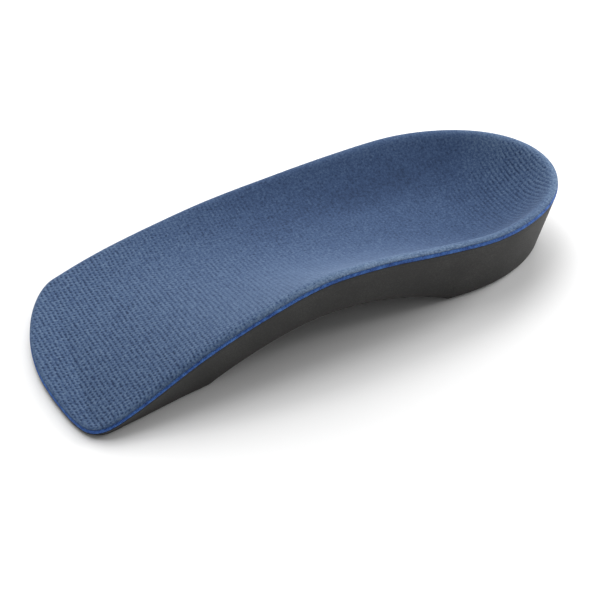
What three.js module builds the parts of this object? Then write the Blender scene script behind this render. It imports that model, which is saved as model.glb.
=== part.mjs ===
// Arch support half insole for a right foot. A moulded foam base has a heel cup, a raised inner arch with
// a hollow under it, and a thinned front. A thin foam backing and a ribbed knit cover its whole top face.
// Millimetres. +Z is up, +Y points to the toes and -X to the inner (arch) side of the foot.
import * as THREE from 'three';

// Driving dimensions, with y measured from the back of the heel and x from the middle of the heel
const HEEL_ROUND = 46;
const FRONT_TIP = { x: -12, y: 177.6 };
const FRONT_THICKNESS = 3.2;
const SECTION_STEP = 20;

// Both tables have one row for every SECTION_STEP from the back of the heel to the front.
// inner, outer: reach of the outline to either side, before the heel and the front are rounded off.
// innerTop, outerTop: height of the rim. draft: how far the wall leans in for each millimetre down.
const RIM_SECTIONS = [
  { inner: 34.6, outer: 34.6, innerTop: 22.6, outerTop: 22.6, draft: 0.24 },
  { inner: 34.5, outer: 34.3, innerTop: 24.0, outerTop: 22.0, draft: 0.25 },
  { inner: 34.7, outer: 34.4, innerTop: 25.0, outerTop: 21.5, draft: 0.28 },
  { inner: 35.7, outer: 36.4, innerTop: 27.6, outerTop: 19.4, draft: 0.32 },
  { inner: 36.4, outer: 39.2, innerTop: 30.5, outerTop: 15.9, draft: 0.32 },
  { inner: 36.6, outer: 41.5, innerTop: 30.6, outerTop: 12.2, draft: 0.32 },
  { inner: 37.2, outer: 41.9, innerTop: 26.1, outerTop: 8.5, draft: 0.34 },
  { inner: 37.7, outer: 40.1, innerTop: 19.2, outerTop: 5.6, draft: 0.38 },
  { inner: 38.0, outer: 34.6, innerTop: 9.6, outerTop: 4.0, draft: 0.40 },
  { inner: 38.0, outer: 27.6, innerTop: 1.2, outerTop: 3.2, draft: 0.42 },
];

// valley, floor: place across the foot and height of the lowest line of the top.
// innerDish, outerDish: how late the top turns up from that line into the rim on either side. Round the heel
// and the front one goes over into the other, each in full where the outline reaches SIDE_REACH.
const DISH_SECTIONS = [
  { valley: 0, floor: 10.8, innerDish: 3.6, outerDish: 2.3 },
  { valley: 0, floor: 10.8, innerDish: 3.6, outerDish: 2.3 },
  { valley: 2, floor: 11.0, innerDish: 3.6, outerDish: 2.2 },
  { valley: 10, floor: 11.8, innerDish: 3.0, outerDish: 2.1 },
  { valley: 17, floor: 11.6, innerDish: 2.5, outerDish: 2.0 },
  { valley: 24, floor: 10.2, innerDish: 2.1, outerDish: 2.1 },
  { valley: 29, floor: 7.8, innerDish: 1.8, outerDish: 2.2 },
  { valley: 30, floor: 5.5, innerDish: 1.6, outerDish: 2.0 },
  { valley: 22, floor: 3.9, innerDish: 1.6, outerDish: 2.0 },
  { valley: 10, floor: 3.2, innerDish: 1.8, outerDish: 1.8 },
];
const SIDE_REACH = 34;

// Each side leaves its straight run at startY and curves round to the tip of the front, led by two handles
const INNER_CORNER = { startY: 165, side: { x: -38.1, y: 175.5 }, front: { x: -33, y: 177.6 } };
const OUTER_CORNER = { startY: 154.5, side: { x: 34.8, y: 163 }, front: { x: 13.5, y: 177.6 } };

// How far the lowest line of the top reaches, and the straight middle line of the underside at x = 0
const MIDDLE = { backY: 38, frontY: 160 };

// Thickness of the layers, the glue line between them, and the lip where the cover rolls over the rim.
// The lip has its full drop where the rim stands fullAtHeight above the front.
const KNIT_THICKNESS = 0.6;
const BACKING_THICKNESS = 1.0;
const GLUE_LINE = 0.15;
const LIP = { width: 2.4, drop: 0.25, fullAtHeight: 12 };

// The wall turns under with a round edge, which takes no more than a share of the wall where that is thin
const EDGE_ROUND = 2.4;
const THIN_EDGE_SHARE = 0.45;

// The hollow under the inner arch, open to the inner side
const HOLLOW = { middle: 93, halfLength: 42, innerEdge: -31, reach: 44, lift: 12.5 };

// How finely the outline and the surfaces are divided
const OUTLINE_STEPS = 12;
const STEPS_PER_SIDE = 42;
const FACE_STEPS = [0.14, 0.28, 0.44, 0.62, 0.84];
const LIP_STEPS = [0, 0.6, 1];
const WALL_STEPS = [0.5, 1];
const ROUND_STEPS = [0.35, 0.7, 1];

// Smooth curve through one column of a table
function column(table, name) {
  const stations = table.map((row, index) => index * SECTION_STEP);
  const values = table.map((row) => row[name]);
  const curve = new THREE.CubicInterpolant(stations, values, 1);
  return (y) => curve.evaluate(y)[0];
}

const innerReach = column(RIM_SECTIONS, 'inner');
const outerReach = column(RIM_SECTIONS, 'outer');
const innerTop = column(RIM_SECTIONS, 'innerTop');
const outerTop = column(RIM_SECTIONS, 'outerTop');
const draftAt = column(RIM_SECTIONS, 'draft');
const valleyAt = column(DISH_SECTIONS, 'valley');
const floorHeight = column(DISH_SECTIONS, 'floor');
const innerDish = column(DISH_SECTIONS, 'innerDish');
const outerDish = column(DISH_SECTIONS, 'outerDish');

// Half of the plan outline, from the back of the heel to the tip of the front
function halfOutline(side) {
  const reach = side < 0 ? innerReach : outerReach;
  const corner = side < 0 ? INNER_CORNER : OUTER_CORNER;
  const places = [];
  for (let turn = 0; turn < OUTLINE_STEPS; turn += 1) {
    const angle = (turn / OUTLINE_STEPS) * (Math.PI / 2);
    const y = HEEL_ROUND * (1 - Math.cos(angle));
    places.push(new THREE.Vector2(side * reach(y) * Math.sin(angle), y));
  }
  for (let step = 0; step < OUTLINE_STEPS; step += 1) {
    const y = THREE.MathUtils.lerp(HEEL_ROUND, corner.startY, step / OUTLINE_STEPS);
    places.push(new THREE.Vector2(side * reach(y), y));
  }
  const front = new THREE.CubicBezierCurve(
    new THREE.Vector2(side * reach(corner.startY), corner.startY),
    new THREE.Vector2(corner.side.x, corner.side.y),
    new THREE.Vector2(corner.front.x, corner.front.y),
    new THREE.Vector2(FRONT_TIP.x, FRONT_TIP.y),
  );
  places.push(...front.getPoints(OUTLINE_STEPS));
  return new THREE.SplineCurve(places).getSpacedPoints(STEPS_PER_SIDE);
}

// The rim as a loop of spokes: up the outer side to the tip, then back down the inner side.
// Each spoke knows its place on the outline, the way inwards, and the middle points that it runs to, on the
// lowest line of the top and on the middle line of the underside.
function rimSpokes() {
  const outer = halfOutline(1);
  const inner = halfOutline(-1);
  const spokes = [];
  const addSpoke = (step, side) => {
    const edge = side > 0 ? outer[step] : inner[step];
    const meanY = (outer[step].y + inner[step].y) / 2;
    const middleY = THREE.MathUtils.clamp(meanY, MIDDLE.backY, MIDDLE.frontY);
    const rimHeight = side > 0 ? outerTop(edge.y) : innerTop(edge.y);
    const outwards = (1 + THREE.MathUtils.clamp(edge.x / SIDE_REACH, -1, 1)) / 2;
    spokes.push({
      edge,
      valley: new THREE.Vector2(valleyAt(middleY), middleY),
      keel: new THREE.Vector2(0, middleY),
      top: Math.max(FRONT_THICKNESS, rimHeight),
      floor: floorHeight(middleY),
      dish: THREE.MathUtils.lerp(innerDish(middleY), outerDish(middleY), outwards),
      draft: draftAt(edge.y),
    });
  };
  for (let step = 0; step < STEPS_PER_SIDE; step += 1) {
    addSpoke(step, 1);
  }
  for (let step = STEPS_PER_SIDE; step > 0; step -= 1) {
    addSpoke(step, -1);
  }
  spokes.forEach((spoke, index) => {
    const before = spokes[(index + spokes.length - 1) % spokes.length].edge;
    const after = spokes[(index + 1) % spokes.length].edge;
    spoke.inwards = new THREE.Vector2(before.y - after.y, after.x - before.x).normalize();
  });
  return spokes;
}

const SPOKES = rimSpokes();

// A place at some distance in from the rim, square to the outline
function inset(spoke, distance) {
  return spoke.edge.clone().addScaledVector(spoke.inwards, distance);
}

// Loops of the top face, from the middle out to the rim, lowered by the layers that lie above it
function topLoops(drop) {
  const dished = [...FACE_STEPS].reverse().map((share) => SPOKES.map((spoke) => {
    const place = inset(spoke, LIP.width).lerp(spoke.valley, share);
    const rise = (spoke.top - spoke.floor) * (1 - share) ** spoke.dish;
    return new THREE.Vector3(place.x, place.y, spoke.floor + rise - drop);
  }));
  const lip = LIP_STEPS.map((share) => SPOKES.map((spoke) => {
    const place = inset(spoke, LIP.width * (1 - share));
    const wallShare = THREE.MathUtils.clamp((spoke.top - FRONT_THICKNESS) / LIP.fullAtHeight, 0, 1);
    return new THREE.Vector3(place.x, place.y, spoke.top - drop - LIP.drop * wallShare * share * share);
  }));
  return [...dished, ...lip];
}

// Height of the underside: flat on the ground apart from the hollow under the arch
function undersideHeight(x, y) {
  const along = (y - HOLLOW.middle) / HOLLOW.halfLength;
  const across = THREE.MathUtils.clamp((x - HOLLOW.innerEdge) / HOLLOW.reach, 0, 1);
  const fade = (1 + Math.cos(Math.PI * across)) / 2;
  return HOLLOW.lift * Math.max(0, 1 - along * along) * fade;
}

// Loops of the base below its rim: the leaning wall, the round edge and the underside in to the middle
function wallLoops(rimLoop) {
  const feet = SPOKES.map((spoke, index) => {
    const rimZ = rimLoop[index].z;
    const wallHeight = spoke.top - undersideHeight(spoke.edge.x, spoke.edge.y);
    const corner = inset(spoke, spoke.draft * wallHeight);
    const ground = undersideHeight(corner.x, corner.y);
    const round = Math.min(EDGE_ROUND, THIN_EDGE_SHARE * (rimZ - ground));
    const foot = corner.clone().addScaledVector(spoke.inwards, -spoke.draft * round);
    const under = corner.clone().addScaledVector(spoke.inwards, round);
    const turn = new THREE.QuadraticBezierCurve3(
      new THREE.Vector3(foot.x, foot.y, ground + round),
      new THREE.Vector3(corner.x, corner.y, ground),
      new THREE.Vector3(under.x, under.y, undersideHeight(under.x, under.y)),
    );
    return { turn, under, keel: spoke.keel };
  });
  const wall = WALL_STEPS.map((share) => feet.map((foot, index) => {
    return rimLoop[index].clone().lerp(foot.turn.v0, share);
  }));
  const round = ROUND_STEPS.map((share) => feet.map((foot) => foot.turn.getPoint(share)));
  const under = FACE_STEPS.map((share) => feet.map((foot) => {
    const place = foot.under.clone().lerp(foot.keel, share);
    return new THREE.Vector3(place.x, place.y, undersideHeight(place.x, place.y));
  }));
  return [...wall, ...round, ...under];
}

// Closed solid through loops that run from the middle of the top, over the rim, to the middle below. Below
// the rim the faces are split the other way, so that layers lying on each other have matching facets.
function solidThrough(upperLoops, lowerLoops) {
  const loops = [...upperLoops, ...lowerLoops];
  const count = SPOKES.length;
  const triangles = [];
  for (let ring = 0; ring + 1 < loops.length; ring += 1) {
    const isUpper = ring + 1 < upperLoops.length;
    for (let spoke = 0; spoke < count; spoke += 1) {
      const next = (spoke + 1) % count;
      const here = ring * count;
      const there = here + count;
      triangles.push(here + spoke, there + spoke, isUpper ? here + next : there + next);
      triangles.push(isUpper ? there + spoke : here + spoke, there + next, here + next);
    }
  }
  const closeMiddle = (start, flip) => {
    const addFace = (a, b, c) => triangles.push(start + a, start + (flip ? c : b), start + (flip ? b : c));
    addFace(0, 1, count - 1);
    for (let step = 1; step < STEPS_PER_SIDE - 1; step += 1) {
      addFace(step, step + 1, count - step - 1);
      addFace(step, count - step - 1, count - step);
    }
    addFace(STEPS_PER_SIDE - 1, STEPS_PER_SIDE, STEPS_PER_SIDE + 1);
  };
  closeMiddle(0, false);
  closeMiddle((loops.length - 1) * count, true);
  const solid = new THREE.BufferGeometry();
  const corners = loops.flat().flatMap((point) => point.toArray());
  solid.setAttribute('position', new THREE.Float32BufferAttribute(corners, 3));
  solid.setIndex(triangles);
  solid.computeVertexNormals();
  return solid;
}

// A layer of even thickness that lies under the layers above it
function layer(drop, thickness) {
  return solidThrough(topLoops(drop), topLoops(drop + thickness).reverse());
}

function foamBase(drop) {
  const top = topLoops(drop);
  return solidThrough(top, wallLoops(top[top.length - 1]));
}

function namedMesh(name, geometry, finish) {
  const mesh = new THREE.Mesh(geometry, new THREE.MeshStandardMaterial(finish));
  mesh.name = name;
  return mesh;
}

const backingDrop = KNIT_THICKNESS + GLUE_LINE;
const baseDrop = backingDrop + BACKING_THICKNESS + GLUE_LINE;
const insole = new THREE.Group();
insole.add(namedMesh('top_cover', layer(0, KNIT_THICKNESS), {
  color: 0x4c6490,
  roughness: 0.95,
  metalness: 0,
}));
insole.add(namedMesh('cover_backing', layer(backingDrop, BACKING_THICKNESS), {
  color: 0x2450a8,
  roughness: 0.7,
  metalness: 0,
}));
insole.add(namedMesh('base', foamBase(baseDrop), { color: 0x2b2b2a, roughness: 0.8, metalness: 0 }));

// The origin is on the ground, under the middle of the whole insole
const part = new THREE.Group();
part.add(insole);
const box = new THREE.Box3().setFromObject(insole);
const middle = box.getCenter(new THREE.Vector3());
insole.position.set(-middle.x, -middle.y, -box.min.z);

export default part;
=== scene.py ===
"""Looks of a right-foot arch support half insole: moulded black foam under a blue backing and a ribbed knit.

The knit, the backing and the foam are lofted from the same sizes as the part's solids, only finer. The knit's
raised face, with its ribs and the small pits between them, is laid over the surface by Geometry Nodes. Sizes
of the insole are in millimetres until a mesh is made, with y from the back of the heel and x from its middle.
"""

import math
from typing import NamedTuple

import bmesh
import bpy
import numpy as np
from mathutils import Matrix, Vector
from mathutils.bvhtree import BVHTree


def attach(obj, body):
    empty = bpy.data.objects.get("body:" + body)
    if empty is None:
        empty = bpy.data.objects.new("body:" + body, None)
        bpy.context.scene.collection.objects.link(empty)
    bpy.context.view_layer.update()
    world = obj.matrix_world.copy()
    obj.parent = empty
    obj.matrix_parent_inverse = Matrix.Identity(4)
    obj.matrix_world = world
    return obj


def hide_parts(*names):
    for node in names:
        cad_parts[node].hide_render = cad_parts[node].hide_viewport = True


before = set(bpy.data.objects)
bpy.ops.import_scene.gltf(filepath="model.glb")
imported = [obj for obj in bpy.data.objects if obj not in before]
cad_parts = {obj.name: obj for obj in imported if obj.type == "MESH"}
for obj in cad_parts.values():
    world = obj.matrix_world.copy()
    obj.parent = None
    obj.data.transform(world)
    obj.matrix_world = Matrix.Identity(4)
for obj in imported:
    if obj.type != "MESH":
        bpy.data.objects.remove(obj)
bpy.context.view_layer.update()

MM = 0.001

# Sizes of the moulded shape, as in the part's source
HEEL_ROUND = 46.0
FRONT_TIP = (-12.0, 177.6)
FRONT_THICKNESS = 3.2
SECTION_STEP = 20.0

# One value for every SECTION_STEP from the back of the heel to the front
SECTIONS = {
    "inner": (34.6, 34.5, 34.7, 35.7, 36.4, 36.6, 37.2, 37.7, 38.0, 38.0),
    "outer": (34.6, 34.3, 34.4, 36.4, 39.2, 41.5, 41.9, 40.1, 34.6, 27.6),
    "inner_top": (22.6, 24.0, 25.0, 27.6, 30.5, 30.6, 26.1, 19.2, 9.6, 1.2),
    "outer_top": (22.6, 22.0, 21.5, 19.4, 15.9, 12.2, 8.5, 5.6, 4.0, 3.2),
    "draft": (0.24, 0.25, 0.28, 0.32, 0.32, 0.32, 0.34, 0.38, 0.40, 0.42),
    "valley": (0.0, 0.0, 2.0, 10.0, 17.0, 24.0, 29.0, 30.0, 22.0, 10.0),
    "floor": (10.8, 10.8, 11.0, 11.8, 11.6, 10.2, 7.8, 5.5, 3.9, 3.2),
    "inner_dish": (3.6, 3.6, 3.6, 3.0, 2.5, 2.1, 1.8, 1.6, 1.6, 1.8),
    "outer_dish": (2.3, 2.3, 2.2, 2.1, 2.0, 2.1, 2.2, 2.0, 2.0, 1.8),
}
INNER_CORNER = {"start_y": 165.0, "side": (-38.1, 175.5), "front": (-33.0, 177.6)}
OUTER_CORNER = {"start_y": 154.5, "side": (34.8, 163.0), "front": (13.5, 177.6)}
SIDE_REACH = 34.0
MIDDLE_BACK_Y = 38.0
MIDDLE_FRONT_Y = 160.0
LIP_WIDTH = 2.4
LIP_DROP = 0.25
LIP_FULL_AT_HEIGHT = 12.0
EDGE_ROUND = 2.4
THIN_EDGE_SHARE = 0.45
HOLLOW_MIDDLE = 93.0
HOLLOW_HALF_LENGTH = 42.0
HOLLOW_INNER_EDGE = -31.0
HOLLOW_REACH = 44.0
HOLLOW_LIFT = 12.5

# Layers: where each one's upper and lower face lies under the knit's upper face
KNIT_LOWER = 0.56
BACKING_UPPER = 0.58
BACKING_LOWER = 1.88
FOAM_UPPER = 1.9

# The crest of the rim is rounded this far to either side, as an average of the heights there
CREST_ROUND = 1.9
CREST_SAMPLES = 9
CREST_SPREAD = 1.25

# The knit's cut edge rolls down, and the end of it lies at this share of its thickness
KNIT_ROLL_WIDTH = 0.7
KNIT_ROLL_DROP = 0.32
KNIT_EDGE_SHARE = 0.45

# The backing's edge bulges out: how far in from the rim it lies, at which share of the thickness
BACKING_EDGE = (
    (0.08, 0.06),
    (-0.06, 0.2),
    (-0.1, 0.45),
    (-0.1, 0.65),
    (-0.05, 0.85),
    (0.1, 0.97),
)

# The foam's upper edge is softened: how far in from the rim it lies, at which drop under the upper face
FOAM_EDGE = ((0.1, 0.04), (0.02, 0.18))

# How finely the surfaces are divided
OUTLINE_STEPS = 12
STEPS_PER_SIDE = 200
CURVE_SAMPLES = 40
LIP_INSETS = (2.4, 2.0, 1.6, 1.2, 0.8, 0.5, 0.25, 0.08)
DISH_STEPS = 18
DISH_CROWDING = 1.4
DISH_SHARES = tuple((np.arange(1, DISH_STEPS + 1) / DISH_STEPS) ** DISH_CROWDING)
KNIT_HIDDEN_INSETS = (1.0, 0.1)
BACKING_INSETS = (1.2, 0.3)
FOAM_INSETS = (1.2, 0.35)
HIDDEN_SHARES = (0.1, 0.25, 0.45, 0.7, 1.0)
WALL_SHARES = (0.12, 0.3, 0.5, 0.7, 0.88, 1.0)
ROUND_SHARES = (0.12, 0.25, 0.38, 0.5, 0.62, 0.75, 0.88, 1.0)
UNDER_SHARES = (0.05, 0.1, 0.16, 0.23, 0.31, 0.4, 0.5, 0.6, 0.7, 0.8, 0.9, 1.0)
WELD_DISTANCE = 0.001
NO_LENGTH = 0.0001

# The knit: ribs across the foot, with small dark pits in the grooves between them where stitches part
RIB_PITCH = 1.46
STITCH_PITCH = 1.4
RIB_HEIGHT = 0.2
RIB_ROUNDNESS = 0.5
RIB_WAVER = 0.9
BRIDGE_SHARE = 0.75
FACE_LIFT = 0.04
EDGE_SINK = 0.06
RIB_COUNT = 150
ROWS_PER_RIB = 4
COLUMN_COUNT = 220
COLUMN_STEP = 0.42
KNIT_SEED = 11

# How far the pits keep to the stitches, how far they come and go by chance, and how fast that changes from
# one stitch and from one groove to the next
PIT_ORDER = 0.6
PIT_CHANCE = 2.6
CHANCE_PER_STITCH = 1.5
CHANCE_PER_GROOVE = 7.7

# How far the grooves part into pits along the foot: the heel's run on almost unbroken, evenly deep
PARTED_Y = (0.0, 8.0, 20.0, 60.0, 100.0)
PARTED = (0.7, 0.4, 0.25, 0.6, 1.0)
EVEN_PIT = 0.5

# How far the ribs stand up on the inner and the outer side: full at the front, pressed flat under the heel
# and on its outer wall
RELIEF = {
    "y": (0.0, 10.0, 22.0, 34.0, 60.0, 95.0, 120.0, 145.0, 178.0),
    "inner": (0.8, 0.8, 0.42, 0.16, 0.12, 0.3, 0.6, 0.95, 1.0),
    "outer": (0.5, 0.12, 0.0, 0.0, 0.04, 0.24, 0.42, 0.9, 1.0),
}
RELIEF_SIDES_X = (6.0, 16.0)

# Over which width they fade towards the rim, along the foot, and how the face meets the cut edge
RELIEF_FADE_Y = (40.0, 120.0)
RELIEF_FADE = (3.0, 0.9)
BARE_EDGE = 0.1
EDGE_RUN = 0.9

# Tone of the knit, more being lighter: of the plain cover and of the crests, and the painted shade that
# grooves and pits take off it
BARE_TONE = 0.29
CREST_TONE = 0.39
GROOVE_SHADE = 0.06
PIT_SHADE = 1.0

# Painted shade under the heel and the arch, on the inner and the outer side; below zero it lightens
PAINTED_SHADE = {
    "y": (0.0, 25.0, 50.0, 90.0, 130.0, 178.0),
    "inner": (-0.08, 0.31, 0.32, 0.07, 0.02, 0.01),
    "outer": (-0.06, 0.27, 0.29, 0.33, 0.07, -0.04),
}

# Painted shade, deepest in a band along the foot of the outer wall
FOOT_SHADE_X = 20.0
FOOT_SHADE_HALF_WIDTH = 11.0
FOOT_SHADE_Y = (8.0, 20.0, 40.0, 60.0, 105.0)
FOOT_SHADE = (0.0, 0.14, 0.17, 0.18, 0.0)

# Painted sheen along the rim makes it lighter, most on the inner side, and its cut edge is dark
PAINTED_RIM_SHEEN = {
    "y": (0.0, 50.0, 90.0, 115.0, 140.0),
    "inner": (0.44, 0.66, 0.6, 0.24, 0.0),
    "outer": (0.1, 0.1, 0.05, 0.0, 0.0),
}
PAINTED_RIM_SHEEN_WIDTH = 6.0
PAINTED_RIM_SHEEN_FALLOFF = 2.5
CUT_EDGE_WIDTH = 0.25
CUT_EDGE_SHADE = 0.22

# The cloth lies on the bias, in degrees. How much closer the ribs lie than RIB_PITCH along the foot, and how
# far they follow the dished surface
RIB_BIAS = -4.0
RIB_CLOSENESS_Y = (0.0, 30.0, 75.0, 110.0, 145.0, 178.0)
RIB_CLOSENESS = (1.05, 1.08, 1.15, 1.1, 1.04, 1.04)
RIB_FOLLOW = 0.4

# The ribs of the inner side are drawn forwards beside the arch, more and more towards the rim
PULL_Y = (60.0, 105.0, 128.0, 178.0)
PULL = (0.0, 5.2, 5.4, 0.8)
PULL_FROM_X = 25.0
PULL_WIDTH = 61.0

# The grid on which the cloth is measured, and a height in metres above everything
MAP_STEP = 1.0
MAP_MARGIN_STEPS = 2
ABOVE_ALL = 1.0


class Grain(NamedTuple):
    """A noise: how fine, how detailed and how rough it is, and how much it counts in a colour."""

    scale: float
    detail: float = 2.0
    roughness: float = 0.5
    weight: float = 1.0


NOISE_MIDDLE = 0.5
RIB_SWING = Grain(scale=180.0, detail=3.0)
PIT_NOISE = Grain(scale=1.0, detail=1.0)

# The knit's colour: soft clouds, a mottle, fuzz that grows with painted sheen and shrinks in painted shade,
# fine filaments
KNIT_CLOUDS = Grain(scale=180.0, detail=3.0, weight=0.18)
KNIT_MOTTLE = Grain(scale=1000.0, weight=0.5)
KNIT_FUZZ = Grain(scale=1600.0, roughness=0.7, weight=1.7)
KNIT_FILAMENTS = Grain(scale=1.0, weight=0.2)
FILAMENTS_PER_METRE = (1100.0, 4500.0, 1.0)
FUZZ_BY_PAINTED_LIGHT = 1.2
SLATE_SPREAD = 0.5
SLATE_COLOURS = (
    (0.1, (0.012, 0.025, 0.061)),
    (0.25, (0.029, 0.055, 0.120)),
    (0.45, (0.064, 0.104, 0.178)),
    (0.75, (0.130, 0.185, 0.270)),
)

# The backing's and the foam's colours: fine cells, over a mottle or clouds
BLUE_CELLS = Grain(scale=2600.0, detail=3.0, roughness=0.6)
BLUE_MOTTLE = Grain(scale=600.0, weight=0.7)
ROYAL_BLUE_COLOURS = (
    (0.3, (0.014, 0.038, 0.160)),
    (0.5, (0.029, 0.093, 0.310)),
    (0.72, (0.065, 0.170, 0.450)),
)
FOAM_CELLS = Grain(scale=1900.0, detail=3.0, roughness=0.55)
FOAM_CLOUDS = Grain(scale=70.0, weight=0.45)
CHARCOAL_COLOURS = (
    (0.42, (0.0155, 0.0153, 0.0148)),
    (0.70, (0.0233, 0.0228, 0.0219)),
    (0.98, (0.0440, 0.0430, 0.0408)),
)

# Stage, lights and camera, in metres, watts and degrees
STAGE_HALF_SIZE = 3.0
STAGE_GREY = (0.74, 0.74, 0.74, 1.0)
ROOM_WHITE = (1.0, 1.0, 1.0, 1.0)
ROOM_LIGHT = 0.42
LIGHTS = {
    "behind": {"place": (0.66, -0.27, 0.60), "target": (0.0, 0.0, 0.0), "size": 1.1, "watts": 10.5},
    "overhead": {"place": (0.2, 0.2, 0.95), "target": (0.0, 0.0, 0.0), "size": 0.8, "watts": 5.0},
    "heel_side": {"place": (-0.05, -0.9, 0.36), "target": (0.0, 0.0, 0.01), "size": 0.6, "watts": 7.5},
}
CAMERA_TARGET = (-0.00702, 0.0022, 0.0)
CAMERA_AZIMUTH = 241.6
CAMERA_ELEVATION = 37.0
CAMERA_DISTANCE = 0.7
CAMERA_LENS = 136.5
CAMERA_SENSOR = 36.0
CAMERA_NEAREST = 0.01


# The moulded shape


def along(name):
    """Smooth curve through one column of the sections, as a function of y."""
    values = np.array(SECTIONS[name])
    slopes = np.gradient(values)

    def value_at(y):
        place = np.clip(np.asarray(y, float) / SECTION_STEP, 0, len(values) - 1)
        row = np.minimum(place.astype(int), len(values) - 2)
        t = place - row
        start = values[row] * (2 * t**3 - 3 * t**2 + 1) + slopes[row] * (t**3 - 2 * t**2 + t)
        end = values[row + 1] * (3 * t**2 - 2 * t**3) + slopes[row + 1] * (t**3 - t**2)
        return start + end

    return value_at


INNER_REACH = along("inner")
OUTER_REACH = along("outer")
INNER_TOP = along("inner_top")
OUTER_TOP = along("outer_top")
DRAFT = along("draft")
VALLEY = along("valley")
FLOOR = along("floor")
INNER_DISH = along("inner_dish")
OUTER_DISH = along("outer_dish")


def through_points(points):
    """Dense samples of a smooth curve that passes through the points."""
    points = np.array(points)
    before = np.vstack([points[:1], points[:-2]])
    after = np.vstack([points[2:], points[-1:]])
    start, end = points[:-1], points[1:]
    t = np.linspace(0, 1, CURVE_SAMPLES, endpoint=False)[None, :, None]
    slope_in = ((end - before) / 2)[:, None]
    slope_out = ((after - start) / 2)[:, None]
    start, end = start[:, None], end[:, None]
    curve = (2 * t**3 - 3 * t**2 + 1) * start + (t**3 - 2 * t**2 + t) * slope_in
    curve += (3 * t**2 - 2 * t**3) * end + (t**3 - t**2) * slope_out
    return np.vstack([curve.reshape(-1, 2), points[-1:]])


def evenly_spaced(curve, steps):
    lengths = np.linalg.norm(np.diff(curve, axis=0), axis=1)
    travelled = np.concatenate([[0], np.cumsum(lengths)])
    wanted = np.linspace(0, travelled[-1], steps + 1)
    return np.column_stack([np.interp(wanted, travelled, curve[:, axis]) for axis in (0, 1)])


def half_outline(side):
    """Half of the plan outline, from the back of the heel to the tip of the front."""
    reach = INNER_REACH if side < 0 else OUTER_REACH
    corner = INNER_CORNER if side < 0 else OUTER_CORNER
    angle = np.arange(OUTLINE_STEPS) / OUTLINE_STEPS * math.pi / 2
    heel_y = HEEL_ROUND * (1 - np.cos(angle))
    heel = np.column_stack([side * reach(heel_y) * np.sin(angle), heel_y])
    run_y = np.linspace(HEEL_ROUND, corner["start_y"], OUTLINE_STEPS, endpoint=False)
    run = np.column_stack([side * reach(run_y), run_y])
    t = np.linspace(0, 1, OUTLINE_STEPS + 1)[:, None]
    start = np.array([side * reach(corner["start_y"]), corner["start_y"]])
    front = (1 - t) ** 3 * start + 3 * (1 - t) ** 2 * t * np.array(corner["side"])
    front += 3 * (1 - t) * t**2 * np.array(corner["front"]) + t**3 * np.array(FRONT_TIP)
    return evenly_spaced(through_points(np.vstack([heel, run, front])), STEPS_PER_SIDE)


def outer_share(x):
    """From 0 on the inner side to 1 on the outer side."""
    return (1 + np.clip(x / SIDE_REACH, -1, 1)) / 2


class Rim:
    """The rim as a loop of spokes, up the outer side to the tip and back down the inner side."""

    def __init__(self):
        outer = half_outline(1)
        inner = half_outline(-1)
        middle_y = np.clip((outer[:, 1] + inner[:, 1]) / 2, MIDDLE_BACK_Y, MIDDLE_FRONT_Y)
        self.edge = np.vstack([outer[:-1], inner[:0:-1]])
        spoke_y = np.concatenate([middle_y[:-1], middle_y[:0:-1]])
        self.valley = np.column_stack([VALLEY(spoke_y), spoke_y])
        self.keel = np.column_stack([np.zeros_like(spoke_y), spoke_y])
        tops = [OUTER_TOP(outer[:-1, 1]), INNER_TOP(inner[:0:-1, 1])]
        self.top = np.maximum(FRONT_THICKNESS, np.concatenate(tops))
        self.floor = FLOOR(spoke_y)
        self.outwards = outer_share(self.edge[:, 0])
        self.dish = INNER_DISH(spoke_y) * (1 - self.outwards) + OUTER_DISH(spoke_y) * self.outwards
        self.draft = DRAFT(self.edge[:, 1])
        before = np.roll(self.edge, 1, axis=0)
        after = np.roll(self.edge, -1, axis=0)
        inwards = np.column_stack([before[:, 1] - after[:, 1], after[:, 0] - before[:, 0]])
        self.inwards = inwards / np.linalg.norm(inwards, axis=1)[:, None]
        self.reach = np.linalg.norm(self.valley - self.inset(LIP_WIDTH), axis=1)
        self.wall_share = np.clip((self.top - FRONT_THICKNESS) / LIP_FULL_AT_HEIGHT, 0, 1)

    def inset(self, distance):
        distance = np.broadcast_to(distance, len(self.edge))
        return self.edge + self.inwards * distance[:, None]


RIM = Rim()
ORIGIN_X = (RIM.edge[:, 0].min() + RIM.edge[:, 0].max()) / 2
ORIGIN_Y = (RIM.edge[:, 1].min() + RIM.edge[:, 1].max()) / 2


def plain_height(inwards):
    """Height of the top at a distance in from the crest of the rim, or out from it where that is negative."""
    share = np.clip(inwards / RIM.reach, 0, 1)
    dished = RIM.floor + (RIM.top - RIM.floor) * (1 - share) ** RIM.dish
    lip = RIM.top - LIP_DROP * RIM.wall_share * (inwards / LIP_WIDTH) ** 2
    return np.where(inwards >= 0, dished, lip)


def soft_height(inwards):
    """The same height with the crest rounded off."""
    offsets = np.linspace(-CREST_ROUND, CREST_ROUND, CREST_SAMPLES)
    weights = 1 - np.abs(offsets) / (CREST_ROUND * CREST_SPREAD)
    fade = np.clip(1 - inwards / RIM.reach, 0, 1)
    heights = [plain_height(inwards + offset * fade) for offset in offsets]
    return np.average(heights, axis=0, weights=weights)


def loop_at(place, height):
    return np.column_stack([place, height])


def lip_loop(inset, drop):
    return loop_at(RIM.inset(inset), soft_height(np.full(len(RIM.edge), inset - LIP_WIDTH)) - drop)


def dish_loop(share, drop):
    start = RIM.inset(LIP_WIDTH)
    return loop_at(start + (RIM.valley - start) * share, soft_height(RIM.reach * share) - drop)


def top_loops(drop, insets, shares):
    """Loops of a face that follows the top, from the middle out to the rim."""
    dish = [dish_loop(share, drop) for share in reversed(shares)]
    return dish + [lip_loop(inset, drop) for inset in insets]


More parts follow.
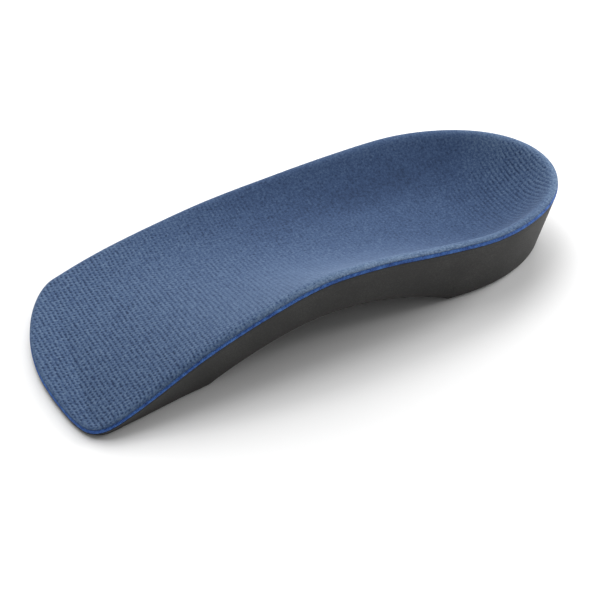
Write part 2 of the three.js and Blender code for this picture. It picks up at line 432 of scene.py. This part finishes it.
def underside_height(place):
    lengthwise = (place[:, 1] - HOLLOW_MIDDLE) / HOLLOW_HALF_LENGTH
    across = np.clip((place[:, 0] - HOLLOW_INNER_EDGE) / HOLLOW_REACH, 0, 1)
    fade = (1 + np.cos(math.pi * across)) / 2
    return HOLLOW_LIFT * np.maximum(0, 1 - lengthwise**2) * fade


def knit_loops():
    """The knit's upper face, and the rest of it: its cut edge and lower face."""
    upper = top_loops(0, LIP_INSETS, DISH_SHARES)
    for index, inset in enumerate(LIP_INSETS):
        roll = max(0, 1 - inset / KNIT_ROLL_WIDTH) ** 2
        upper[len(DISH_SHARES) + index][:, 2] -= KNIT_ROLL_DROP * roll
    edge = [lip_loop(0, KNIT_EDGE_SHARE * KNIT_LOWER)]
    lower = top_loops(KNIT_LOWER, KNIT_HIDDEN_INSETS, HIDDEN_SHARES)
    return upper, edge + lower[::-1]


def backing_loops():
    thickness = BACKING_LOWER - BACKING_UPPER
    upper = top_loops(BACKING_UPPER, BACKING_INSETS, HIDDEN_SHARES)
    edge = [lip_loop(inset, BACKING_UPPER + share * thickness) for inset, share in BACKING_EDGE]
    lower = top_loops(BACKING_LOWER, BACKING_INSETS, HIDDEN_SHARES)
    return upper + edge + lower[::-1]


def foam_loops():
    """The foam's upper face, softened edge, undercut wall, rounded bottom edge and hollowed underside."""
    upper = top_loops(FOAM_UPPER, FOAM_INSETS, HIDDEN_SHARES)
    rim_edge = [lip_loop(inset, FOAM_UPPER + drop) for inset, drop in FOAM_EDGE]
    rim = rim_edge[-1]
    corner = RIM.inset(RIM.draft * (RIM.top - underside_height(RIM.edge)))
    ground = underside_height(corner)
    turn = np.minimum(EDGE_ROUND, THIN_EDGE_SHARE * (rim[:, 2] - ground))
    foot = loop_at(corner - RIM.inwards * (RIM.draft * turn)[:, None], ground + turn)
    under_place = corner + RIM.inwards * turn[:, None]
    under = loop_at(under_place, underside_height(under_place))
    bend = loop_at(corner, ground)
    wall = [rim + (foot - rim) * share for share in WALL_SHARES]
    rounded = [(1 - t) ** 2 * foot + 2 * (1 - t) * t * bend + t**2 * under for t in ROUND_SHARES]
    lower = []
    for share in UNDER_SHARES:
        place = under_place + (RIM.keel - under_place) * share
        lower.append(loop_at(place, underside_height(place)))
    return upper + rim_edge + wall + rounded + lower


# Meshes


def in_metres(loops):
    points = np.vstack(loops)
    return (points - np.array([ORIGIN_X, ORIGIN_Y, 0])) * MM


def skin(name, loops):
    """Mesh through loops that start and end in the middle, with the middle welded shut."""
    count = len(RIM.edge)
    spoke = np.arange(count)
    after = (spoke + 1) % count
    faces = []
    for ring in range(len(loops) - 1):
        here, there = ring * count, (ring + 1) * count
        faces.append(np.column_stack([here + spoke, there + spoke, there + after, here + after]))
    mesh = bpy.data.meshes.new(name)
    mesh.from_pydata(in_metres(loops).tolist(), [], np.vstack(faces).tolist())
    work = bmesh.new()
    work.from_mesh(mesh)
    bmesh.ops.remove_doubles(work, verts=work.verts, dist=WELD_DISTANCE * MM)
    bmesh.ops.dissolve_degenerate(work, edges=work.edges, dist=NO_LENGTH * MM)
    for face in work.faces:
        face.smooth = True
    work.to_mesh(mesh)
    work.free()
    return mesh


def piece(name, mesh, material):
    if material is not None:
        mesh.materials.clear()
        mesh.materials.append(material)
    made = bpy.data.objects.new(name, mesh)
    bpy.context.scene.collection.objects.link(made)
    return made


# The cloth: where it lies on the top, and its painted sheen and shade


def vertex_places(mesh):
    places = np.empty(len(mesh.vertices) * 3)
    mesh.vertices.foreach_get("co", places)
    return places.reshape(-1, 3)


def heights_over(mesh, xs, ys):
    """Height of a mesh over a grid on the ground, with no number where the grid lies beside it."""
    faces = [tuple(face.vertices) for face in mesh.polygons]
    tree = BVHTree.FromPolygons(vertex_places(mesh).tolist(), faces)
    heights = np.full((len(xs), len(ys)), np.nan)
    down = Vector((0, 0, -1))
    for i, x in enumerate(xs):
        for j, y in enumerate(ys):
            hit = tree.ray_cast(Vector((x, y, ABOVE_ALL)), down)[0]
            if hit is not None:
                heights[i, j] = hit.z
    return heights


def lengths_over(lines, places, closeness):
    """Length over each line of heights, from where it passes the origin."""
    lengths = np.zeros_like(lines)
    for row, line in enumerate(lines):
        known = ~np.isnan(line)
        surface = np.zeros(len(places))
        if known.any():
            surface = np.interp(places, places[known], line[known])
        steps = np.hypot(np.diff(places), np.diff(surface)) * closeness[1:]
        travelled = np.concatenate([[0], np.cumsum(steps)])
        lengths[row] = travelled - np.interp(0, places, travelled)
    return lengths


def between_cells(grid, across, lengthwise):
    """Values of a grid at places between its points, counted in its steps."""
    i, j = across.astype(int), lengthwise.astype(int)
    x, y = across - i, lengthwise - j
    near = grid[i, j] * (1 - y) + grid[i, j + 1] * y
    far = grid[i + 1, j] * (1 - y) + grid[i + 1, j + 1] * y
    return near * (1 - x) + far * x


def add_fabric_map(mesh):
    """UV map in metres of cloth: across the foot and along it, measured over the dished surface."""
    places = vertex_places(mesh)
    step = MAP_STEP * MM
    low = places.min(0) - MAP_MARGIN_STEPS * step
    high = places.max(0) + MAP_MARGIN_STEPS * step
    xs = np.arange(low[0], high[0], step)
    ys = np.arange(low[1], high[1], step)
    heights = heights_over(mesh, xs, ys)
    foot_x = xs / MM + ORIGIN_X
    foot_y = ys / MM + ORIGIN_Y

    lengthwise = lengths_over(heights, ys, np.interp(foot_y, RIB_CLOSENESS_Y, RIB_CLOSENESS))
    middle = lengthwise[np.abs(xs).argmin()]
    lengthwise = middle + RIB_FOLLOW * (lengthwise - middle)
    inwards = np.clip((PULL_FROM_X - foot_x) / PULL_WIDTH, 0, 1)
    lengthwise -= np.outer(inwards**2, np.interp(foot_y, PULL_Y, PULL) * MM)
    crosswise = lengths_over(heights.T, xs, np.ones(len(xs))).T

    cells = (places[:, 0] - xs[0]) / step, (places[:, 1] - ys[0]) / step
    bias = math.radians(RIB_BIAS)
    turn = np.array([[math.cos(bias), -math.sin(bias)], [math.sin(bias), math.cos(bias)]])
    cloth = np.column_stack([between_cells(crosswise, *cells), between_cells(lengthwise, *cells)]) @ turn
    layer = mesh.uv_layers.new(name="cloth")
    owner = np.empty(len(mesh.loops), int)
    mesh.loops.foreach_get("vertex_index", owner)
    layer.data.foreach_set("uv", cloth[owner].ravel())


def add_relief_and_painted_light(mesh):
    """Stores at every point whether it is inside the edge, its relief, pits, painted sheen and shade, and
    tone.
    """
    places = vertex_places(mesh)[:, :2] / MM + np.array([ORIGIN_X, ORIGIN_Y])
    x, y = places.T
    to_edge = np.array([np.linalg.norm(RIM.edge - place, axis=1) for place in places])
    nearest = to_edge.argmin(axis=1)
    to_edge = to_edge.min(axis=1)

    def between_sides(table, share):
        inner = np.interp(y, table["y"], table["inner"])
        outer = np.interp(y, table["y"], table["outer"])
        return inner * (1 - share) + outer * share

    relief = np.clip((to_edge - BARE_EDGE) / np.interp(y, RELIEF_FADE_Y, RELIEF_FADE), 0, 1)
    relief *= between_sides(RELIEF, np.interp(x, RELIEF_SIDES_X, (0, 1)))
    # Painted sheen, lighter towards the rim
    painted_rim_sheen = between_sides(PAINTED_RIM_SHEEN, RIM.outwards[nearest])
    painted_rim_sheen *= np.clip(1 - to_edge / PAINTED_RIM_SHEEN_WIDTH, 0, 1) ** PAINTED_RIM_SHEEN_FALLOFF
    # Painted shade, darker under the heel, the arch and along the foot of the outer wall
    painted_shade = between_sides(PAINTED_SHADE, outer_share(x))
    # Painted shade in a band along the foot of the outer wall
    from_band = np.abs(x - FOOT_SHADE_X) / FOOT_SHADE_HALF_WIDTH
    painted_shade += np.interp(y, FOOT_SHADE_Y, FOOT_SHADE) * np.clip(1 - from_band, 0, 1)
    painted_sheen_and_shade = painted_rim_sheen - painted_shade
    values = {
        "inside": np.clip((to_edge - BARE_EDGE) / EDGE_RUN, 0, 1),
        "relief": relief,
        "parted": np.interp(y, PARTED_Y, PARTED),
        "painted_sheen_and_shade": painted_sheen_and_shade,
        "tone": BARE_TONE + painted_sheen_and_shade - CUT_EDGE_SHADE * np.clip(1 - to_edge / CUT_EDGE_WIDTH, 0, 1),
    }
    for name, value in values.items():
        mesh.attributes.new(name, "FLOAT", "POINT").data.foreach_set("value", value)


# Nodes, for materials and for Geometry Nodes alike


def add_node(tree, kind, settings=None, inputs=None):
    """Adds a node; inputs are given by their place or name, as a value or as the socket they come from."""
    made = tree.nodes.new(kind)
    for name, value in (settings or {}).items():
        setattr(made, name, value)
    for key, value in (inputs or {}).items():
        if isinstance(value, bpy.types.NodeSocket):
            tree.links.new(value, made.inputs[key])
        else:
            made.inputs[key].default_value = value
    return made


def float_math(tree, operation, *values):
    return add_node(tree, "ShaderNodeMath", {"operation": operation}, dict(enumerate(values))).outputs[0]


def vector_math(tree, operation, *values):
    made = add_node(tree, "ShaderNodeVectorMath", {"operation": operation}, dict(enumerate(values)))
    return made.outputs[0]


def vector_of(tree, x, y, z):
    return add_node(tree, "ShaderNodeCombineXYZ", None, {"X": x, "Y": y, "Z": z}).outputs[0]


def noise(tree, place, grain, output="Fac"):
    return add_node(tree, "ShaderNodeTexNoise", None, {
        "Vector": place,
        "Scale": grain.scale,
        "Detail": grain.detail,
        "Roughness": grain.roughness,
    }).outputs[output]


def built_up(tree, start, *parts):
    """A value with others added to it, each by its weight."""
    for value, weight in parts:
        start = float_math(tree, "MULTIPLY_ADD", value, weight, start)
    return start


# Materials


def new_material(name):
    material = bpy.data.materials.new(name)
    material.use_nodes = True
    tree = material.node_tree
    return material, tree, tree.nodes["Principled BSDF"]


def object_place(tree):
    return add_node(tree, "ShaderNodeTexCoord").outputs["Object"]


def stored_value(tree, name):
    return add_node(tree, "ShaderNodeAttribute", {"attribute_name": name}).outputs["Fac"]


def colour_steps(tree, factor, steps):
    ramp = add_node(tree, "ShaderNodeValToRGB", None, {"Fac": factor})
    elements = ramp.color_ramp.elements
    while len(elements) < len(steps):
        elements.new(steps[-1][0])
    for element, (place, colour) in zip(elements, steps):
        element.position = place
        element.color = (*colour, 1)
    return ramp.outputs["Color"]


def finish_shader(tree, shader, colour, relief, strength, depth, values):
    """Colour, fine relief and the values that are the same all over."""
    tree.links.new(colour, shader.inputs["Base Color"])
    bump = add_node(tree, "ShaderNodeBump", None, {
        "Strength": strength,
        "Distance": depth * MM,
        "Height": relief,
    })
    tree.links.new(bump.outputs["Normal"], shader.inputs["Normal"])
    for name, value in values.items():
        shader.inputs[name].default_value = value


def knit_yarn():
    """Slate-blue brushed yarn toned by its painted sheen and shade, with fuzz and fine filaments."""
    material, tree, shader = new_material("slate_knit")
    place = object_place(tree)
    cloth = add_node(tree, "ShaderNodeUVMap", {"uv_map": "cloth"}).outputs["UV"]
    filaments = noise(tree, vector_math(tree, "MULTIPLY", cloth, FILAMENTS_PER_METRE), KNIT_FILAMENTS)
    # Fuzz grows with the painted sheen and shrinks in the painted shade
    fuzziness = float_math(tree, "MULTIPLY_ADD", stored_value(tree, "painted_sheen_and_shade"), FUZZ_BY_PAINTED_LIGHT, 1.0)
    fuzz = float_math(tree, "SUBTRACT", noise(tree, place, KNIT_FUZZ), NOISE_MIDDLE)
    fuzz = float_math(tree, "MULTIPLY", fuzz, fuzziness)
    shade = built_up(
        tree,
        stored_value(tree, "tone"),
        (noise(tree, place, KNIT_CLOUDS), KNIT_CLOUDS.weight),
        (noise(tree, place, KNIT_MOTTLE), KNIT_MOTTLE.weight),
        (fuzz, KNIT_FUZZ.weight),
        (filaments, KNIT_FILAMENTS.weight),
    )
    colour = colour_steps(tree, float_math(tree, "MULTIPLY", shade, SLATE_SPREAD), SLATE_COLOURS)
    relief = float_math(tree, "ADD", fuzz, filaments)
    finish_shader(tree, shader, colour, relief, strength=0.35, depth=0.15, values={
        "Roughness": 0.95,
        "Specular IOR Level": 0.2,
        "Sheen Weight": 0.2,
        "Sheen Roughness": 0.4,
        "Sheen Tint": (0.55, 0.72, 1.0, 1.0),
    })
    return material


def blue_foam():
    """Thin royal-blue foam with a fine open cut edge."""
    material, tree, shader = new_material("royal_blue_foam")
    place = object_place(tree)
    cells = noise(tree, place, BLUE_CELLS)
    shade = built_up(tree, cells, (noise(tree, place, BLUE_MOTTLE), BLUE_MOTTLE.weight))
    shade = float_math(tree, "SUBTRACT", shade, BLUE_MOTTLE.weight * NOISE_MIDDLE)
    colour = colour_steps(tree, shade, ROYAL_BLUE_COLOURS)
    finish_shader(tree, shader, colour, cells, strength=0.5, depth=0.2, values={
        "Roughness": 0.8,
        "Specular IOR Level": 0.3,
    })
    return material


def black_foam():
    """Matte charcoal moulded foam with a fine closed skin and faint specks."""
    material, tree, shader = new_material("charcoal_foam")
    place = object_place(tree)
    cells = noise(tree, place, FOAM_CELLS)
    shade = built_up(tree, cells, (noise(tree, place, FOAM_CLOUDS), FOAM_CLOUDS.weight))
    colour = colour_steps(tree, shade, CHARCOAL_COLOURS)
    finish_shader(tree, shader, colour, cells, strength=0.25, depth=0.2, values={
        "Roughness": 0.72,
        "Specular IOR Level": 0.4,
    })
    return material


def pale_floor():
    material, _, shader = new_material("pale_floor")
    shader.inputs["Base Color"].default_value = STAGE_GREY
    shader.inputs["Roughness"].default_value = 0.9
    return material


KNIT = knit_yarn()
BLUE = blue_foam()
BLACK = black_foam()


# The knit's ribbed face


def new_geometry_tree(name, inputs):
    """Geometry Nodes tree with named inputs, and the sockets at its two ends."""
    tree = bpy.data.node_groups.new(name, "GeometryNodeTree")
    tree.interface.new_socket("Geometry", in_out="INPUT", socket_type="NodeSocketGeometry")
    tree.interface.new_socket("Geometry", in_out="OUTPUT", socket_type="NodeSocketGeometry")
    for label, kind in inputs:
        tree.interface.new_socket(label, in_out="INPUT", socket_type="NodeSocket" + kind)
    return tree, tree.nodes.new("NodeGroupInput").outputs, tree.nodes.new("NodeGroupOutput").inputs


def named_value(tree, name, kind):
    made = add_node(tree, "GeometryNodeInputNamedAttribute", {"data_type": kind}, {"Name": name})
    return made.outputs["Attribute"]


def stored(tree, geometry, name, value, kind="FLOAT", domain="POINT"):
    """Geometry with a value kept on it under a name."""
    return add_node(tree, "GeometryNodeStoreNamedAttribute", {"data_type": kind, "domain": domain}, {
        "Geometry": geometry,
        "Name": name,
        "Value": value,
    }).outputs[0]


def cloth_grid(tree, given):
    """A fine grid on the flat cloth."""
    return add_node(tree, "GeometryNodeMeshGrid", None, {
        "Size X": float_math(tree, "MULTIPLY", given["Columns"], given["Column step"]),
        "Size Y": float_math(tree, "MULTIPLY", given["Rows"], given["Row step"]),
        "Vertices X": float_math(tree, "ADD", given["Columns"], 1.0),
        "Vertices Y": float_math(tree, "ADD", given["Rows"], 1.0),
    }).outputs["Mesh"]


def wavered(tree, given, place):
    """Places on the cloth moved a little to and fro, so that the ribs waver."""
    middle = (NOISE_MIDDLE, NOISE_MIDDLE, NOISE_MIDDLE)
    swing = vector_math(tree, "SUBTRACT", noise(tree, place, RIB_SWING, "Color"), middle)
    swing = vector_math(tree, "MULTIPLY", swing, vector_of(tree, given["Waver"], given["Waver"], 0.0))
    return vector_math(tree, "ADD", place, swing)


def rib_profile(tree, given, lengthwise):
    """The nearest groove's number, and the rib's height from 0 there to 1 on the crest."""
    ribs = float_math(tree, "DIVIDE", lengthwise, given["Rib pitch"])
    ribs = float_math(tree, "SUBTRACT", ribs, 0.5)
    groove = float_math(tree, "ROUND", ribs)
    from_groove = float_math(tree, "ABSOLUTE", float_math(tree, "SUBTRACT", ribs, groove))
    crest = float_math(tree, "POWER", float_math(tree, "MULTIPLY", from_groove, 2.0), RIB_ROUNDNESS)
    return groove, crest


def pit_depth(tree, given, crosswise, groove, parted):
    """How deep the groove is pitted at each point, from 0 to 1."""
    start = add_node(tree, "FunctionNodeRandomValue", {"data_type": "FLOAT"}, {
        "ID": groove,
        "Seed": given["Seed"],
    }).outputs[1]
    stitches = float_math(tree, "ADD", float_math(tree, "DIVIDE", crosswise, given["Stitch pitch"]), start)
    wave = float_math(tree, "COSINE", float_math(tree, "MULTIPLY", stitches, 2 * math.pi))
    chance = noise(tree, vector_of(
        tree,
        float_math(tree, "MULTIPLY", stitches, CHANCE_PER_STITCH),
        float_math(tree, "MULTIPLY", groove, CHANCE_PER_GROOVE),
        0.0,
    ), PIT_NOISE)
    pit = float_math(tree, "MULTIPLY_ADD", wave, PIT_ORDER, EVEN_PIT - NOISE_MIDDLE * PIT_CHANCE)
    pit = float_math(tree, "MULTIPLY_ADD", chance, PIT_CHANCE, pit)
    pit = add_node(tree, "ShaderNodeClamp", None, {"Value": pit}).outputs[0]
    return float_math(tree, "MULTIPLY_ADD", float_math(tree, "SUBTRACT", pit, EVEN_PIT), parted, EVEN_PIT)


def ribbed_face():
    """Tree that draws a fine sheet over the cloth-mapped surface, ribbed, with pits along its grooves."""
    tree, given, result = new_geometry_tree("ribbed_face", [
        ("Rib pitch", "Float"),
        ("Stitch pitch", "Float"),
        ("Row step", "Float"),
        ("Column step", "Float"),
        ("Rows", "Int"),
        ("Columns", "Int"),
        ("Rib height", "Float"),
        ("Bridge share", "Float"),
        ("Lift", "Float"),
        ("Edge sink", "Float"),
        ("Waver", "Float"),
        ("Seed", "Int"),
        ("Yarn", "Material"),
    ])
    place = add_node(tree, "GeometryNodeInputPosition").outputs[0]
    cloth = named_value(tree, "cloth", "FLOAT_VECTOR")
    on_cloth = wavered(tree, given, place)

    def sampled(value, kind):
        return add_node(tree, "GeometryNodeSampleUVSurface", {"data_type": kind}, {
            "Mesh": given["Geometry"],
            "Value": value,
            "UV Map": cloth,
            "Sample UV": on_cloth,
        }).outputs["Value"]

    def value_here(name):
        return sampled(named_value(tree, name, "FLOAT"), "FLOAT")

    # The rib under each point, and how far its groove is bridged between the pits
    inside = value_here("inside")
    relief = value_here("relief")
    axes = add_node(tree, "ShaderNodeSeparateXYZ", None, {0: place}).outputs
    groove, crest = rib_profile(tree, given, axes["Y"])
    pit = pit_depth(tree, given, axes["X"], groove, value_here("parted"))
    low = float_math(tree, "SUBTRACT", 1.0, crest)
    unpitted = float_math(tree, "SUBTRACT", 1.0, pit)
    bridge = float_math(tree, "MULTIPLY", float_math(tree, "MULTIPLY", low, given["Bridge share"]), unpitted)
    rise = float_math(tree, "ADD", crest, bridge)

    # Lighter on the crests, with painted shade in the grooves and pits over their real relief
    hollow = float_math(tree, "MULTIPLY", low, float_math(tree, "MULTIPLY_ADD", pit, PIT_SHADE, GROOVE_SHADE))
    tone = float_math(tree, "SUBTRACT", CREST_TONE, float_math(tree, "MULTIPLY", hollow, relief))
    # The surface's painted sheen and shade carry over to the ribs' tone
    painted_sheen_and_shade = value_here("painted_sheen_and_shade")
    sheet = stored(tree, cloth_grid(tree, given), "painted_sheen_and_shade", painted_sheen_and_shade)
    sheet = stored(tree, sheet, "tone", float_math(tree, "ADD", tone, painted_sheen_and_shade))
    sheet = stored(tree, sheet, "cloth", place, "FLOAT2", "CORNER")

    # From the flat cloth to the surface: raised by the ribs, and sunk into the cover along its edge
    lift = float_math(tree, "MULTIPLY", float_math(tree, "MULTIPLY", rise, given["Rib height"]), relief)
    from_sunk = float_math(tree, "ADD", given["Lift"], given["Edge sink"])
    lift = float_math(tree, "MULTIPLY_ADD", inside, from_sunk, lift)
    lift = float_math(tree, "SUBTRACT", lift, given["Edge sink"])
    up = sampled(add_node(tree, "GeometryNodeInputNormal").outputs["Normal"], "FLOAT_VECTOR")
    raised = vector_math(tree, "MULTIPLY", up, vector_of(tree, lift, lift, lift))
    beyond = add_node(tree, "FunctionNodeCompare", {"data_type": "FLOAT", "operation": "LESS_EQUAL"}, {
        0: inside,
        1: 0.0,
    }).outputs[0]
    trimmed = add_node(tree, "GeometryNodeDeleteGeometry", {"domain": "POINT"}, {
        "Geometry": sheet,
        "Selection": beyond,
    }).outputs[0]
    bent = add_node(tree, "GeometryNodeSetPosition", None, {
        "Geometry": trimmed,
        "Position": vector_math(tree, "ADD", sampled(place, "FLOAT_VECTOR"), raised),
    }).outputs[0]
    smooth = add_node(tree, "GeometryNodeSetShadeSmooth", None, {"Geometry": bent}).outputs[0]
    realized = add_node(tree, "GeometryNodeRealizeInstances", None, {"Geometry": smooth}).outputs[0]
    done = add_node(tree, "GeometryNodeSetMaterial", None, {"Geometry": realized, "Material": given["Yarn"]})
    tree.links.new(done.outputs[0], result["Geometry"])
    return tree


def grown_on(surface, name, tree, values):
    """What a tree makes on a surface, as a plain mesh piece."""
    bearer = piece(name + "_bearer", surface, None)
    modifier = bearer.modifiers.new(tree.name, "NODES")
    modifier.node_group = tree
    for item in tree.interface.items_tree:
        if item.in_out == "INPUT" and item.name in values:
            modifier[item.identifier] = values[item.name]
    bpy.context.view_layer.update()
    graph = bpy.context.evaluated_depsgraph_get()
    mesh = bpy.data.meshes.new_from_object(bearer.evaluated_get(graph), depsgraph=graph)
    mesh.name = name
    bpy.data.objects.remove(bearer)
    return piece(name, mesh, None)


# Pieces

knit_upper, knit_lower = knit_loops()
knit_cover = piece("knit_cover", skin("knit_cover", knit_upper + knit_lower), KNIT)
blue_backing = piece("blue_backing", skin("blue_backing", backing_loops()), BLUE)
foam_base = piece("foam_base", skin("foam_base", foam_loops()), BLACK)

cloth_face = skin("cloth_face", knit_upper)
for cloth in (cloth_face, knit_cover.data):
    add_fabric_map(cloth)
    add_relief_and_painted_light(cloth)
knit_ribs = grown_on(cloth_face, "knit_ribs", ribbed_face(), {
    "Rib pitch": RIB_PITCH * MM,
    "Stitch pitch": STITCH_PITCH * MM,
    "Row step": RIB_PITCH / ROWS_PER_RIB * MM,
    "Column step": COLUMN_STEP * MM,
    "Rows": RIB_COUNT * ROWS_PER_RIB,
    "Columns": COLUMN_COUNT,
    "Rib height": RIB_HEIGHT * MM,
    "Bridge share": BRIDGE_SHARE,
    "Lift": FACE_LIFT * MM,
    "Edge sink": EDGE_SINK * MM,
    "Waver": RIB_WAVER * MM,
    "Seed": KNIT_SEED,
    "Yarn": KNIT,
})

for made, node, slot in (
    (knit_cover, "top_cover", "knit"),
    (blue_backing, "cover_backing", "backing_foam"),
    (foam_base, "base", "base_foam"),
):
    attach(made, "root")
    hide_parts(node)
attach(knit_ribs, "root")


# Stage, lights and camera


def floor():
    mesh = bpy.data.meshes.new("floor")
    half = STAGE_HALF_SIZE
    corners = [(-half, -half, 0), (half, -half, 0), (half, half, 0), (-half, half, 0)]
    mesh.from_pydata(corners, [], [(0, 1, 2, 3)])
    piece("floor", mesh, pale_floor())


def soft_light(name, place, target, size, watts):
    lamp = bpy.data.lights.new(name, "AREA")
    lamp.shape = "DISK"
    lamp.size = size
    lamp.energy = watts
    made = bpy.data.objects.new(name, lamp)
    made.location = place
    made.rotation_euler = (Vector(target) - Vector(place)).to_track_quat("-Z", "Y").to_euler()
    bpy.context.scene.collection.objects.link(made)


def camera():
    lens = bpy.data.cameras.new("camera")
    lens.lens = CAMERA_LENS
    lens.sensor_width = CAMERA_SENSOR
    lens.clip_start = CAMERA_NEAREST
    made = bpy.data.objects.new("camera", lens)
    azimuth = math.radians(CAMERA_AZIMUTH)
    elevation = math.radians(CAMERA_ELEVATION)
    towards = Vector((
        math.sin(azimuth) * math.cos(elevation),
        -math.cos(azimuth) * math.cos(elevation),
        math.sin(elevation),
    ))
    made.location = Vector(CAMERA_TARGET) + towards * CAMERA_DISTANCE
    made.rotation_euler = (-towards).to_track_quat("-Z", "Y").to_euler()
    bpy.context.scene.collection.objects.link(made)
    bpy.context.scene.camera = made


def white_room():
    world = bpy.data.worlds.new("white_room")
    world.use_nodes = True
    background = world.node_tree.nodes["Background"]
    background.inputs["Color"].default_value = ROOM_WHITE
    background.inputs["Strength"].default_value = ROOM_LIGHT
    bpy.context.scene.world = world
    bpy.context.scene.view_settings.view_transform = "Standard"


floor()
for light_name, light in LIGHTS.items():
    soft_light(light_name, **light)
camera()
white_room()
